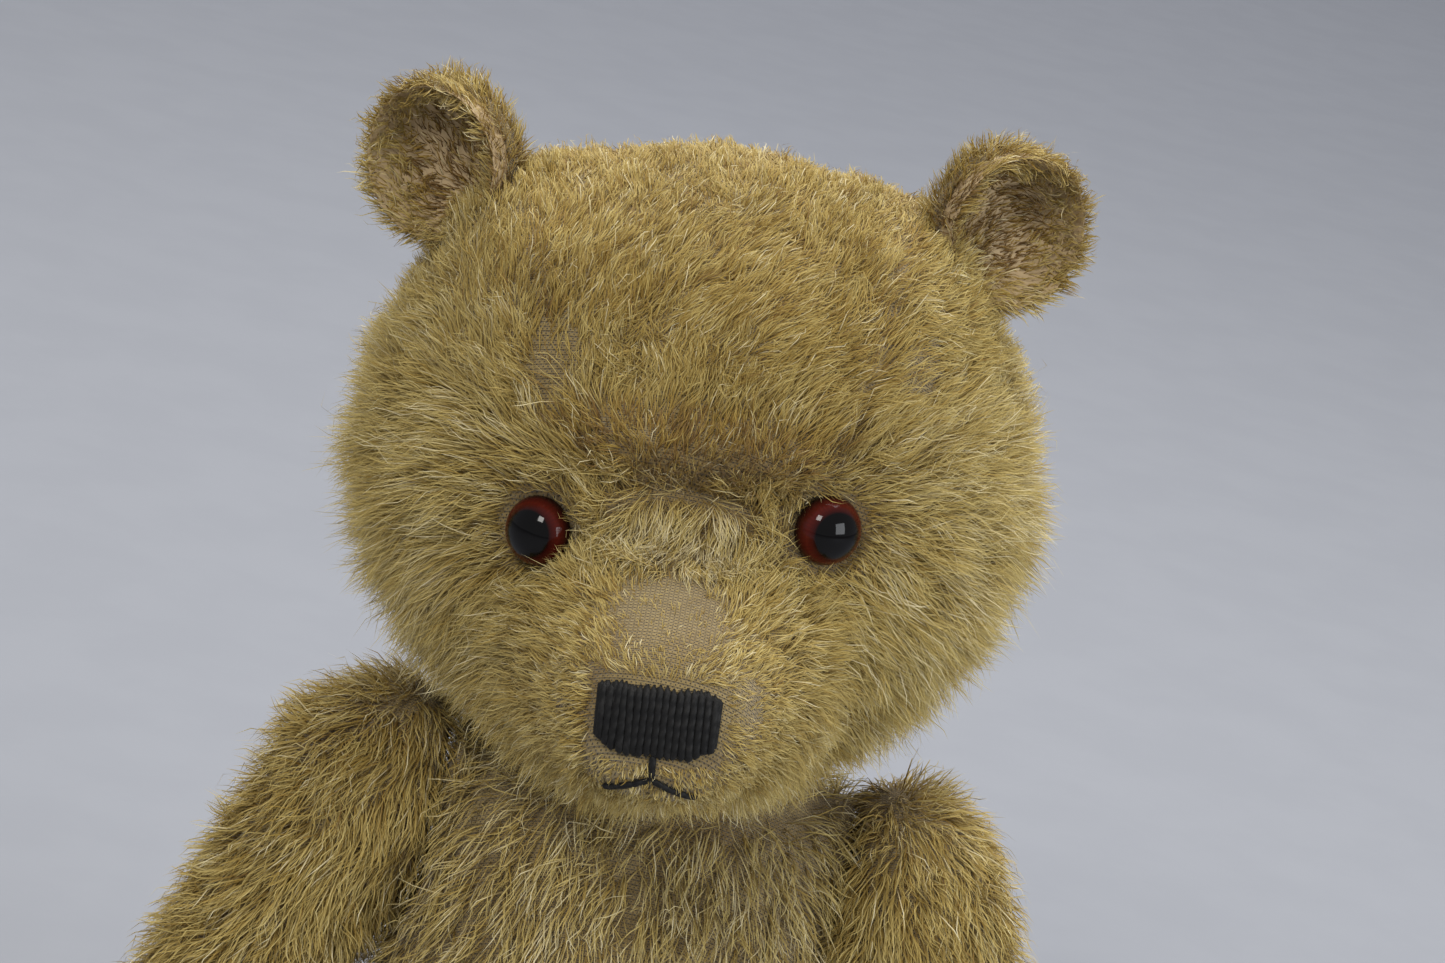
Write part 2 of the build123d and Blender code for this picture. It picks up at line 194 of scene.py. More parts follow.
def weave_finish(name, pale, deep, rows_mm):
    """Bare mohair backing: plain weave whose small pinholes and furrows are darkened with painted shade, stained with
    age.
    """
    finish = Finish(name, Roughness=0.95, Sheen_Weight=0.25, Sheen_Roughness=0.6, IOR=1.3)
    vector, (x, y, z) = finish.place()
    turn = 2 * math.pi / (rows_mm * MM)
    along = (x * turn + finish.noise(vector, 260.0) * 1.2).sine()
    across = ((z + y) * (0.75 * turn) + finish.noise(vector, 310.0) * 1.2).sine()
    height = along * across
    pin = height.step(0.35, 0.95)
    furrow = (0.0 - across).step(0.45, 1.0)
    stain = finish.noise(vector, 42.0, 4.0).step(0.35, 0.7)
    fleck = finish.noise(vector, 900.0, 2.0).step(0.5, 0.62)
    body = finish.mix(stain, pale, deep)
    # Painted shade: darker in the furrows between the rows.
    body = finish.mix(furrow * 0.45, body, tuple(0.5 * c for c in deep))
    # Painted shade: much darker in the pinholes of the weave.
    body = finish.mix(pin * 0.85, body, tuple(0.22 * c for c in deep))
    finish.colour(finish.mix(fleck * 0.25, body, tuple(min(1, 1.25 * c) for c in pale)))
    finish.bump((1.0 - pin) + fleck * 0.3 - furrow * 0.7, 1.0, 0.25 * MM)
    return finish.material


def pile_finish(name, settings):
    """Mohair fibres: tone from one side of the map, root to tip along the other, each fibre darkened towards its root
    with painted shade.
    """
    finish = Finish(name, Roughness=0.62, Sheen_Weight=0.15, Sheen_Roughness=0.45, IOR=1.4,
                    Specular_IOR_Level=0.3)
    tone, along = finish.bake_uv()
    golden, straw = tuple(settings.golden), tuple(settings.straw)
    umber = tuple(settings.umber)
    middle = tuple((a + b) / 2 for a, b in zip(golden, straw))
    fibre = finish.ramp(tone, [(0.0, tuple(0.55 * c for c in umber)), (0.18, umber), (0.38, golden),
                               (0.6, middle), (0.8, straw), (1.0, tuple(settings.bleached))])
    # Painted shade: the fibre colour darkens from its middle down to the root, as deep in the pile.
    shade = finish.ramp(along, [(0.0, (0.40, 0.31, 0.20)), (0.3, (0.76, 0.70, 0.58)),
                                (0.65, (1.0, 0.98, 0.93)), (1.0, (1.06, 1.05, 1.02))])
    finish.colour(finish.mix(1.0, fibre, shade, "MULTIPLY"))
    return finish.material


def felt_finish(name, pale, deep):
    finish = Finish(name, Roughness=0.95, Sheen_Weight=0.4, Sheen_Roughness=0.5)
    vector, _ = finish.place()
    worn = finish.noise(vector, 70.0, 5.0).step(0.3, 0.75)
    fuzz = finish.noise(vector, 1400.0, 4.0, 0.7)
    base = finish.mix(worn, pale, deep)
    finish.colour(finish.mix(fuzz.step(0.45, 0.7) * 0.35, base, tuple(0.55 * c for c in deep)))
    finish.bump(fuzz, 0.7, 0.3 * MM)
    return finish.material


def yarn_finish():
    """Black stitching cotton, twisted, dusty on top."""
    finish = Finish("black_yarn", Roughness=0.6, Sheen_Weight=0.04, Sheen_Roughness=0.4,
                    Specular_IOR_Level=0.25)
    around, along = finish.bake_uv()
    ply = ((along * 2.6 + around) * (2 * math.pi)).sine()
    vector, _ = finish.place()
    dust = finish.noise(vector, 500.0, 3.0).step(0.5, 0.75)
    finish.colour(finish.mix(dust * 0.5, (0.007, 0.0065, 0.006), (0.030, 0.028, 0.026)))
    finish.bump(ply, 0.6, 0.12 * MM)
    return finish.material


def eye_finish():
    """Blown glass over a painted back: black pupil, red-brown iris, darker rim."""
    finish = Finish("amber_eye_glass", Roughness=0.05, IOR=1.4, Specular_IOR_Level=0.3)
    out, around = finish.bake_uv()
    vector, _ = finish.place()
    streak = ((around * (2 * math.pi * 46)).sine() * 0.5 + 0.5) * finish.noise(vector, 900.0)
    iris = finish.ramp(out, [(0.0, (0.003, 0.0025, 0.0025)), (0.64, (0.003, 0.0025, 0.0025)),
                             (0.70, (0.035, 0.004, 0.003)), (0.84, (0.09, 0.010, 0.006)),
                             (0.94, (0.06, 0.008, 0.005)), (1.0, (0.010, 0.004, 0.003))])
    finish.colour(finish.mix(streak * (out.step(0.66, 0.74)) * 0.4, iris, (0.03, 0.006, 0.003)))
    return finish.material


def plain_finish(name, pale, deep, scale, **constants):
    finish = Finish(name, **constants)
    vector, _ = finish.place()
    grain = finish.noise(vector, scale, 4.0)
    finish.colour(finish.mix(grain.step(0.35, 0.65), pale, deep))
    finish.bump(grain, 0.3, 0.1 * MM)
    return finish.material


# ---------------------------------------------------------------- mesh helpers
def clear_selection():
    for o in list(bpy.context.selected_objects):
        o.select_set(False)
    bpy.context.view_layer.objects.active = None


def activate(obj):
    clear_selection()
    obj.select_set(True)
    bpy.context.view_layer.objects.active = obj


def apply_modifier(obj, kind, **settings):
    activate(obj)
    modifier = obj.modifiers.new(kind.lower(), kind)
    for key, value in settings.items():
        setattr(modifier, key, value)
    bpy.ops.object.modifier_apply(modifier=modifier.name)


def new_piece(name, verts, faces, material, body):
    mesh = bpy.data.meshes.new(name)
    mesh.from_pydata(verts, [], faces)
    obj = bpy.data.objects.new(name, mesh)
    bpy.context.scene.collection.objects.link(obj)
    mesh.materials.append(material)
    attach(obj, body)
    return obj


def gathered(name, nodes):
    """One new object from copies of several CAD nodes, their shared points merged."""
    bm = bmesh.new()
    for node in nodes:
        bm.from_mesh(NODES[node].data)
    bmesh.ops.remove_doubles(bm, verts=bm.verts, dist=1e-6)
    mesh = bpy.data.meshes.new(name)
    bm.to_mesh(mesh)
    bm.free()
    obj = bpy.data.objects.new(name, mesh)
    bpy.context.scene.collection.objects.link(obj)
    return obj


def keep_outer_shell(obj):
    """Remeshing a body with hollows leaves shells inside; the largest one is the skin."""
    bm = bmesh.new()
    bm.from_mesh(obj.data)
    left, best = set(bm.verts), []
    while left:
        group, edge = [], [left.pop()]
        while edge:
            v = edge.pop()
            group.append(v)
            for link in v.link_edges:
                other = link.other_vert(v)
                if other in left:
                    left.remove(other)
                    edge.append(other)
        if len(group) > len(best):
            best = group
    keep = set(best)
    bmesh.ops.delete(bm, geom=[v for v in bm.verts if v not in keep], context="VERTS")
    bm.to_mesh(obj.data)
    bm.free()


def points_of(mesh):
    co = np.empty(len(mesh.vertices) * 3)
    mesh.vertices.foreach_get("co", co)
    return co.reshape(-1, 3)


def set_points(mesh, co):
    mesh.vertices.foreach_set("co", np.ascontiguousarray(co).reshape(-1))
    mesh.update()


def plumped(obj, cap, shrink):
    """Stuffing pressure: a short cloth simulation with each point's travel capped."""
    start = points_of(obj.data)
    activate(obj)
    cloth = obj.modifiers.new("stuffing", "CLOTH")
    cloth.settings.use_pressure = True
    cloth.settings.uniform_pressure_force = 4.0
    cloth.settings.effector_weights.gravity = 0.0
    cloth.settings.quality = 3
    cloth.collision_settings.use_collision = False
    for step in range(1, 15):
        bpy.context.scene.frame_set(step)
    bpy.ops.object.modifier_apply(modifier=cloth.name)
    bpy.context.scene.frame_set(1)
    travel = points_of(obj.data) - start
    length = np.linalg.norm(travel, axis=1, keepdims=True)
    travel *= np.minimum(1.0, cap / np.maximum(length, 1e-9))
    normals = np.empty(len(obj.data.vertices) * 3)
    obj.data.vertices.foreach_get("normal", normals)
    set_points(obj.data, start + travel - normals.reshape(-1, 3) * shrink)


def skin(name, nodes, body, material, voxel, smooth=6, cap=0.0, shrink=0.0, relief=None):
    """A stuffed cloth form grown from the CAD panels and their stuffing."""
    obj = gathered(name, nodes)
    activate(obj)
    obj.data.remesh_voxel_size = voxel
    obj.data.use_remesh_fix_poles = False
    bpy.ops.object.voxel_remesh()
    keep_outer_shell(obj)
    apply_modifier(obj, "SMOOTH", factor=0.5, iterations=smooth)
    if cap:
        plumped(obj, cap, shrink)
    if relief:
        normals = np.empty(len(obj.data.vertices) * 3)
        obj.data.vertices.foreach_get("normal", normals)
        co = points_of(obj.data)
        set_points(obj.data, co + normals.reshape(-1, 3) * relief(co)[:, None] * MM)
    obj.data.materials.clear()
    obj.data.materials.append(material)
    obj.data.shade_smooth()
    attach(obj, body)
    return obj


# ---------------------------------------------------------------- pile
def unit(v):
    return v / np.maximum(np.linalg.norm(v, axis=-1, keepdims=True), 1e-12)


def smooth(x, low, high):
    t = np.clip((x - low) / (high - low), 0, 1)
    return t * t * (3 - 2 * t)


def blob(points, centre, radius):
    """1 at the centre, 0 from the radius outwards; millimetres; radius may be per axis."""
    d = np.linalg.norm((points - np.array(centre)) / np.array(radius), axis=1)
    return 1 - smooth(d, 0.55, 1.0)


def lock_noise(rng, points, cell, strength):
    """Roots in the same small cell lean the same way; also returns the cell of each root."""
    jitter = points + rng.normal(0, 0.18 * cell, points.shape)
    key = np.floor(jitter / cell).astype(np.int64)
    _, index = np.unique(key, axis=0, return_inverse=True)
    index = index.reshape(-1)
    lean = rng.normal(0, strength, (index.max() + 1, 3))
    return lean[index], index


def roots_on(mesh, count, rng):
    mesh.calc_loop_triangles()
    tris = np.empty(len(mesh.loop_triangles) * 3, np.int64)
    mesh.loop_triangles.foreach_get("vertices", tris)
    tris = tris.reshape(-1, 3)
    co = points_of(mesh)
    normals = np.empty(len(mesh.vertices) * 3)
    mesh.vertices.foreach_get("normal", normals)
    normals = normals.reshape(-1, 3)
    a, b, c = (co[tris[:, i]] for i in range(3))
    area = np.linalg.norm(np.cross(b - a, c - a), axis=1)
    pick = rng.choice(len(tris), count, p=area / area.sum())
    r1, r2 = np.sqrt(rng.random((count, 1))), rng.random((count, 1))
    wa, wb, wc = 1 - r1, r1 * (1 - r2), r1 * r2
    place = wa * a[pick] + wb * b[pick] + wc * c[pick]
    na, nb, nc = (normals[tris[pick, i]] for i in range(3))
    return place, unit(wa * na + wb * nb + wc * nc)


def pile(name, base, body, rule, count, material, seed, parts=1, to_local=None):
    """Mohair pile: thin tapering fibres rooted in the cloth, combed and matted into locks.

    rule(points in mm, normals, rng) gives length in mm, comb direction, lay (0 upright to 1 flat),
    share of roots kept, tone (0 umber to 1 bleached) and how strongly the tips draw together.
    """
    rng = np.random.default_rng(seed)
    place, normal = roots_on(base.data, count, rng)
    turn = np.array(to_local.to_3x3()) if to_local else np.eye(3)
    shift = np.array(to_local.translation) if to_local else np.zeros(3)
    local, local_normal = (place @ turn.T + shift) * 1000, normal @ turn.T
    facts = rule(local, local_normal, rng)
    keep = rng.random(count) < facts["kept"]
    local, place, normal = local[keep], place[keep] * 1000, normal[keep]
    length, comb, lay, tone, draw, fibre = (facts[k][keep] for k in
                                            ("length", "comb", "lay", "tone", "draw", "fibre"))
    comb = comb @ turn
    comb = unit(comb - normal * np.sum(comb * normal, axis=1, keepdims=True))
    n = len(place)
    wisp = rng.random(n) < 0.05
    length = np.where(wisp & (length > 3.5), length * 1.35, length)
    tone = np.where(wisp, 0.93, tone)
    big, _ = lock_noise(rng, place, 6.5, 0.36)
    small, cell = lock_noise(rng, place, 1.7, 0.30)
    stray = rng.normal(0, 0.13, (n, 3))
    length = length * rng.uniform(0.55, 1.10, n)
    lay, size, draw = lay[:, None], length[:, None] / 3, draw[:, None]
    down = np.array([0, 0, -1.0])
    first = unit(normal * (1 - lay) * 1.15 + comb * lay + big * 0.5 + small * 0.5 + stray)
    first = unit(first + normal * np.maximum(0, 0.18 - np.sum(first * normal, axis=1, keepdims=True)))
    second = unit(first + comb * 0.35 + big * 0.35 + small * 0.45 + stray + down * 0.10)
    curl = unit(np.cross(second, normal)) * rng.normal(0, 0.28, (n, 1))
    third = unit(second + comb * 0.25 + small * 0.5 + curl + down * 0.14)
    rows = [place - normal * 0.25, place + first * size]
    rows.append(rows[1] + second * size)
    rows.append(rows[2] + third * size)
    tips = np.zeros((cell.max() + 1, 3))
    np.add.at(tips, cell, rows[3])
    tips /= np.bincount(cell)[:, None]
    rows[3] = rows[3] + (tips[cell] - rows[3]) * draw
    rows[2] = rows[2] + (tips[cell] - rows[3]) * draw * 0.30
    face = unit(normal + rng.normal(0, 0.45, (n, 3)))
    wide = fibre * 1.0
    verts = np.empty((n, 7, 3))
    for i, share in enumerate((0.85, 1.0, 0.7)):
        side = unit(np.cross(rows[i + 1] - rows[i], face)) * (wide * share / 2)[:, None]
        verts[:, 2 * i], verts[:, 2 * i + 1] = rows[i] - side, rows[i] + side
    verts[:, 6] = rows[3]
    tone = np.clip(tone + rng.normal(0, 0.10, n) + rng.normal(0, 0.09, cell.max() + 1)[cell], 0.01, 0.985)
    corners = np.array([0, 1, 3, 2, 2, 3, 5, 4, 4, 5, 6])
    heights = np.array([0, 0, 0.34, 0.34, 0.67, 0.67, 1.0])[corners]
    sides = np.array([0, 1, 0, 1, 0, 1, 0.5])[corners]
    made = []
    order = np.argsort(local[:, 0], kind="stable") if parts > 1 else np.arange(n)
    for number, chosen in enumerate(np.array_split(order, parts)):
        m = len(chosen)
        mesh = bpy.data.meshes.new(f"{name}_{number + 1}" if parts > 1 else name)
        mesh.vertices.add(m * 7)
        mesh.vertices.foreach_set("co", (verts[chosen] * MM).reshape(-1))
        mesh.loops.add(m * 11)
        mesh.loops.foreach_set("vertex_index", (corners[None] + 7 * np.arange(m)[:, None]).reshape(-1))
        mesh.polygons.add(m * 3)
        mesh.polygons.foreach_set("loop_start", (np.array([0, 4, 8])[None] + 11 * np.arange(m)[:, None]).reshape(-1))
        uv = mesh.uv_layers.new(name="OFBake")
        flat = np.empty((m, 11, 2))
        flat[:, :, 0] = tone[chosen][:, None] + (sides[None] - 0.5) * 0.004
        flat[:, :, 1] = 0.01 + 0.98 * heights[None]
        mesh.update(calc_edges=True)
        mesh.uv_layers["OFBake"].uv.foreach_set("vector", flat.reshape(-1))
        mesh.materials.append(material)
        mesh.shade_smooth()
        obj = bpy.data.objects.new(mesh.name, mesh)
        bpy.context.scene.collection.objects.link(obj)
        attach(obj, body)
        made.append(obj)
    return made


EYES = []
for eye_side, _ in SIDES:
    eye_low, eye_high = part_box(f"{eye_side}_eye_iris")
    EYES.append(np.array(TO_HEAD @ ((eye_low + eye_high) / 2)) * 1000)
NOSE = np.array([0.0, -71.0, 30.0])


def head_relief(co):
    """Brow ridge over a crease between the eyes, eye sockets and a seam down the chin, mm."""
    p = (co @ np.array(TO_HEAD.to_3x3()).T + np.array(TO_HEAD.translation)) * 1000
    ax = np.abs(p[:, 0])
    front = (1 - smooth(ax, 12, 20)) * (p[:, 1] < -20)
    push = 1.5 * np.exp(-((p[:, 2] - 59.5) / 3.5) ** 2) * front
    push -= 1.5 * np.exp(-((p[:, 2] - 54.0) / 1.8) ** 2) * front
    for eye in EYES:
        push -= 0.6 * (1 - smooth(np.linalg.norm(p - eye, axis=1), 4.5, 9))
    ahead = 1 - smooth(p[:, 1], 0, 30)
    push -= 3.2 * smooth(p[:, 2], 74, 94) * (1 - smooth(ax, 12, 30)) * ahead
    push += 3.5 * np.exp(-((ax - 30) / 11) ** 2 - ((p[:, 2] - 80) / 12) ** 2) * ahead
    chin = (p[:, 2] < 20) * (p[:, 1] < 0)
    return push - 0.5 * np.exp(-(p[:, 0] / 0.9) ** 2) * chin


def head_rule(p, n, rng):
    """Short and matted on the crown, long on the cheeks, worn away over the muzzle."""
    x, y, z = p[:, 0], p[:, 1], p[:, 2]
    ax = np.abs(x)
    away = p - NOSE
    gap = np.linalg.norm(away, axis=1)
    comb = unit(away)
    front = smooth(-y, 5, 30)
    comb[:, 2] -= 0.75 * smooth(ax, 12, 34) * smooth(-z, -66, -40)
    crown = smooth(z, 60, 76) * front
    comb = comb + crown[:, None] * np.array([0.75, 0.0, -0.2])
    length = 8.5 + 3.5 * smooth(ax, 24, 38) * smooth(-z, -56, -44) - 3.2 * smooth(z, 58, 72)
    length = length + 1.5 * smooth(-z, -24, -12) - 1.2 * smooth(z, 76, 90)
    lay = 0.60 + 0.18 * smooth(z, 54, 68)
    tone = 0.62 - 0.10 * smooth(z, 60, 75) + 0.08 * smooth(ax, 20, 36)
    draw = 0.45 + 0.2 * smooth(z, 52, 66)
    kept = np.ones(len(p))
    muzzle = 1 - smooth(gap, 14, 40)
    length = length * (1 - 0.62 * muzzle)
    lay = lay + 0.15 * muzzle
    kept = kept * (1 - 0.10 * muzzle)
    bridge = blob(p, (0, -59, 40), (10, 15, 10))
    bridge = np.maximum(bridge, blob(p, (9.5, -64, 31), (5, 6, 7)))
    kept = kept * (1 - 0.90 * bridge)
    length = length * (1 - 0.50 * bridge)
    brow = blob(p, (0, -38, 59.5), (23, 16, 6.0))
    length = length * (1 - 0.50 * brow)
    # Darker pile over the brow: partly a brown band of the fibres, partly painted shade over the crease.
    tone = tone - 0.34 * brow
    kept = kept * (1 - 0.10 * brow)
    tuft = blob(p, (0, -42, 47.5), (14, 14, 7.5))
    comb = comb * (1 - tuft[:, None]) + tuft[:, None] * np.array([0, -0.2, -1.0])
    length = length * (1 - tuft) + 6.5 * tuft
    tone = tone + 0.24 * tuft
    bald = np.maximum(blob(p, (-20, -34, 66), (5, 10, 9)), 0.9 * blob(p, (30, -28, 70), (4, 9, 6)))
    kept = kept * (1 - 0.88 * bald)
    seam = np.exp(-((ax - 25 + 0.30 * (78 - z)) / 1.2) ** 2) * smooth(z, 56, 62) * front
    kept = kept * (1 - 0.75 * seam)
    # Painted shade: fibres darker along the seam, where the pile parts between the panels.
    tone = tone - 0.22 * seam
    for eye in EYES:
        d = np.linalg.norm(p - eye, axis=1)
        kept = kept * smooth(d, 5.0, 6.2)
        near = 1 - smooth(d, 6, 12)
        comb = comb + near[:, None] * unit(p - eye) * 1.2
        length = length * (1 - 0.45 * near)
    nose_face = (ax < 8.8) & (np.abs(z - 30) < 5.6) & (y < -55)
    mouth = (ax < 8.5) & (z > 17) & (z <= 25) & (y < -55)
    kept = np.where(nose_face, 0, kept)
    kept = np.where(mouth, kept * 0.75, kept)
    length = np.where(mouth, 1.8, length)
    ear = np.linalg.norm(np.stack([ax - 38, y - 3, z - 88], axis=1), axis=1)
    length = np.where(ear < 16, np.minimum(length, 5.0), length)
    neck = smooth(z, 1.5, 5)
    kept = kept * (0.25 + 0.75 * neck)
    return dict(length=length, comb=comb, lay=np.clip(lay, 0, 0.92), kept=kept, tone=tone,
                draw=draw, fibre=np.full(len(p), 0.14))


def body_rule(direction, length, tone, cuff=None):
    def rule(p, n, rng):
        comb = np.tile(np.array(direction, float), (len(p), 1))
        comb = comb + n * np.array([0.3, 0.25, 0.0])
        kept = np.ones(len(p))
        if cuff is not None:
            kept = kept * (1 - cuff(p, n))
        return dict(length=np.full(len(p), length), comb=comb, lay=np.full(len(p), 0.6), kept=kept,
                    tone=np.full(len(p), tone), draw=np.full(len(p), 0.5), fibre=np.full(len(p), 0.2))
    return rule


def ear_rule(back):
    def rule(p, n, rng):
        ax = np.abs(p[:, 0])
        out = np.stack([np.sign(p[:, 0]) * (ax - 32), p[:, 1] * 0.2, p[:, 2] - 79], axis=1)
        facing = n[:, 1] < -0.15
        kept = np.where(facing, 0.9 if not back else 0.3, 0.95)
        rim = smooth(np.linalg.norm(np.stack([ax - 38, p[:, 2] - 88], axis=1), axis=1), 7, 11)
        # Painted shade: the front pile darkens from the rim into the hollow of the cup.
        tone = np.where(facing, 0.20 + 0.42 * rim, 0.62)
        length = np.where(facing, 3.2 + 1.0 * rim, 4.6)
        return dict(length=length, comb=unit(out), lay=np.full(len(p), 0.62), kept=kept, tone=tone,
                    draw=np.full(len(p), 0.45), fibre=np.full(len(p), 0.17))
    return rule


# ---------------------------------------------------------------- stitched yarn
def tube(points, normals, radius, flat, ring=8):
    """A yarn lying on a surface: points and surface normals in metres, ends rounded off."""
    points, normals = np.array(points), unit(np.array(normals))
    n = len(points)
    travel = np.gradient(points, axis=0)
    travel = unit(travel)
    side = unit(np.cross(travel, normals))
    rise = np.cross(side, travel)
    distance = np.concatenate([[0], np.cumsum(np.linalg.norm(np.diff(points, axis=0), axis=1))])
    end = np.minimum(distance, distance[-1] - distance) / (radius * 1.3)
    swell = np.sqrt(np.clip(end, 0.03, 1) * (2 - np.clip(end, 0.03, 1)))
    verts, uv = [], []
    for i in range(n):
        for k in range(ring):
            angle = 2 * math.pi * k / ring
            verts.append(points[i] + (side[i] * math.cos(angle) + rise[i] * math.sin(angle) * flat)
                         * radius * swell[i])
            uv.append((k / ring, distance[i] / (radius * 8)))
    faces = [(i * ring + k, i * ring + (k + 1) % ring, (i + 1) * ring + (k + 1) % ring, (i + 1) * ring + k)
             for i in range(n - 1) for k in range(ring)]
    faces = [tuple(reversed(f)) for f in faces]
    faces += [tuple(range(ring)), tuple((n - 1) * ring + k for k in reversed(range(ring)))]
    return verts, faces, uv


def joined(name, pieces, material, body):
    verts, faces, uvs = [], [], []
    for v, f, uv in pieces:
        faces += [tuple(i + len(verts) for i in face) for face in f]
        verts += [tuple(p) for p in v]
        uvs += uv
    obj = new_piece(name, verts, faces, material, body)
    layer = obj.data.uv_layers.new(name="OFBake")
    for loop in obj.data.loops:
        layer.data[loop.index].uv = uvs[loop.vertex_index]
    activate(obj)
    bpy.ops.object.mode_set(mode="EDIT")
    bpy.ops.mesh.select_all(action="SELECT")
    bpy.ops.mesh.normals_make_consistent(inside=False)
    bpy.ops.object.mode_set(mode="OBJECT")
    obj.data.shade_smooth()
    return obj


def on_muzzle(tree, x, z, lift):
    """The point of the muzzle seen from the front at x, z in the head's own frame, mm."""
    start = FROM_HEAD @ Vector((x * MM, -0.12, z * MM))
    ahead = (FROM_HEAD.to_3x3() @ Vector((0, 1, 0))).normalized()
    hit, normal, _, _ = tree.ray_cast(start, ahead)
    if hit is None:
        raise RuntimeError(f"no muzzle surface at {x}, {z}")
    return hit + normal * lift * MM, normal


# ---------------------------------------------------------------- settings
class BearSettings(bpy.types.PropertyGroup):
    golden: bpy.props.FloatVectorProperty(name="Golden", description="Usual colour of the pile",
                                          subtype="COLOR", size=3, default=(0.40, 0.272, 0.062))
    straw: bpy.props.FloatVectorProperty(name="Straw", description="Faded fibres",
                                         subtype="COLOR", size=3, default=(0.60, 0.485, 0.190))
    bleached: bpy.props.FloatVectorProperty(name="Bleached", description="Palest fibres",
                                            subtype="COLOR", size=3, default=(0.78, 0.70, 0.46))
    # Umber: soiled fibres, and also the painted shade of the ear cups and the brow.
    umber: bpy.props.FloatVectorProperty(name="Umber", description="Soiled fibres",
                                         subtype="COLOR", size=3, default=(0.24, 0.140, 0.045))
    cloth: bpy.props.FloatVectorProperty(name="Backing", description="Bare woven backing",
                                         subtype="COLOR", size=3, default=(0.32, 0.232, 0.092))
    row_pitch: bpy.props.FloatProperty(name="Weave pitch", description="Distance between rows, mm",
                                       default=0.65, min=0.2, max=3.0)
    trunk_pile: bpy.props.FloatProperty(name="Trunk pile", description="Fibre length, mm", default=8.0)
    limb_pile: bpy.props.FloatProperty(name="Limb pile", description="Fibre length, mm", default=8.0)
    head_fibres: bpy.props.IntProperty(name="Head fibres", description="Roots on the head", default=200000)
    trunk_fibres: bpy.props.IntProperty(name="Trunk fibres", description="Roots on the trunk", default=36000)
    limb_fibres: bpy.props.IntProperty(name="Limb fibres", description="Roots on each limb", default=25000)
    ear_fibres: bpy.props.IntProperty(name="Ear fibres", description="Roots on each ear layer", default=6000)
    eye_radius: bpy.props.FloatProperty(name="Eye radius", description="Glass eye", unit="LENGTH",
                                        default=5.1 * MM, precision=4)


class BearStage(bpy.types.PropertyGroup):
    azimuth: bpy.props.FloatProperty(name="Azimuth", description="Camera turn", subtype="ANGLE",
                                     default=math.radians(-1.5))
    elevation: bpy.props.FloatProperty(name="Elevation", description="Camera height angle",
                                       subtype="ANGLE", default=math.radians(17.0))
    roll: bpy.props.FloatProperty(name="Roll", description="Camera roll", subtype="ANGLE",
                                  default=math.radians(13.0))
    distance: bpy.props.FloatProperty(name="Distance", description="Camera to target", unit="LENGTH",
                                      default=0.56)
    lens: bpy.props.FloatProperty(name="Lens", description="Focal length, mm", default=92.0)
    target: bpy.props.FloatVectorProperty(name="Target", description="Point looked at", size=3,
                                          subtype="TRANSLATION", default=(0.0, 0.0, 0.1655))


def settings():
    return bpy.context.scene.bear


def finish_named(name, make):
    """The material of that name, made once."""
    return bpy.data.materials.get(name) or make()


def cloth_material():
    s = settings()
    pale = tuple(s.cloth)
    return finish_named("mohair_backing", lambda: weave_finish(
        "mohair_backing", pale, tuple(c * k for c, k in zip(pale, (0.62, 0.55, 0.45))), s.row_pitch))


def pile_material():
    return finish_named("mohair_pile", lambda: pile_finish("mohair_pile", settings()))


def felt_material():
    return finish_named("paw_felt", lambda: felt_finish("paw_felt", (0.62, 0.50, 0.34), (0.42, 0.31, 0.19)))


# ---------------------------------------------------------------- operators
class BEAR_OT_trunk(bpy.types.Operator):
    """Stuffed trunk with its pile, combed downwards"""
    bl_idname = "bear.trunk"
    bl_label = "Trunk"

    def execute(self, context):
        s = settings()
        nodes = ("trunk_left_panel", "trunk_right_panel", "trunk_stuffing")
        obj = skin("trunk_skin", nodes, "trunk", cloth_material(), 2.2 * MM, 4, 0.6 * MM, 0.4 * MM)
        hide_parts(*nodes)

        def bearing(p, n):
            flat = (np.abs(n[:, 0]) > 0.93) & (np.abs(p[:, 0]) < 33.0) & (np.abs(p[:, 0]) > 29.0)
            seam = np.exp(-(p[:, 0] / 0.9) ** 2) * 0.85
            top = smooth(p[:, 2], 118, 121)
            under = 1 - smooth(p[:, 2], 0.8, 4.0)
            return np.clip(flat * 0.9 + seam + top * 0.95 + under * 0.7, 0, 1)

        pile("trunk_pile", obj, "trunk", body_rule((0, 0, -1), s.trunk_pile, 0.74, bearing),
             s.trunk_fibres, pile_material(), 11)
        return {"FINISHED"}


class BEAR_OT_head(bpy.types.Operator):
    """Stuffed head with short crown, long cheeks and a worn muzzle"""
    bl_idname = "bear.head"
    bl_label = "Head"

    def execute(self, context):
        nodes = ("head_gusset", "head_left_side", "head_right_side", "head_stuffing")
        obj = skin("head_skin", nodes, "head", cloth_material(), 1.7 * MM, 8, 0.5 * MM, 0.3 * MM,
                   head_relief)
        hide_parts(*nodes)
        pile("head_pile", obj, "head", head_rule, settings().head_fibres, pile_material(), 21,
             parts=6, to_local=TO_HEAD)
        return {"FINISHED"}


class BEAR_OT_ears(bpy.types.Operator):
    """Cupped ears: a stained lining whose pile darkens into the hollow with painted shade, and a furred back"""
    bl_idname = "bear.ears"
    bl_label = "Ears"

    def execute(self, context):
        lining = finish_named("ear_lining", lambda: weave_finish(
            "ear_lining", (0.40, 0.28, 0.16), (0.20, 0.12, 0.06), settings().row_pitch))
        for side, _ in SIDES:
            for layer, material, back in (("front", lining, False), ("back", cloth_material(), True)):
                node = f"{side}_ear_{layer}"
                obj = skin(f"{side}_ear_{layer}_skin", (node,), "head", material, 0.7 * MM, 3)
                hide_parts(node)
                pile(f"{side}_ear_{layer}_pile", obj, "head", ear_rule(back), settings().ear_fibres,
                     pile_material(), 31 + len(node), to_local=TO_HEAD)
        return {"FINISHED"}


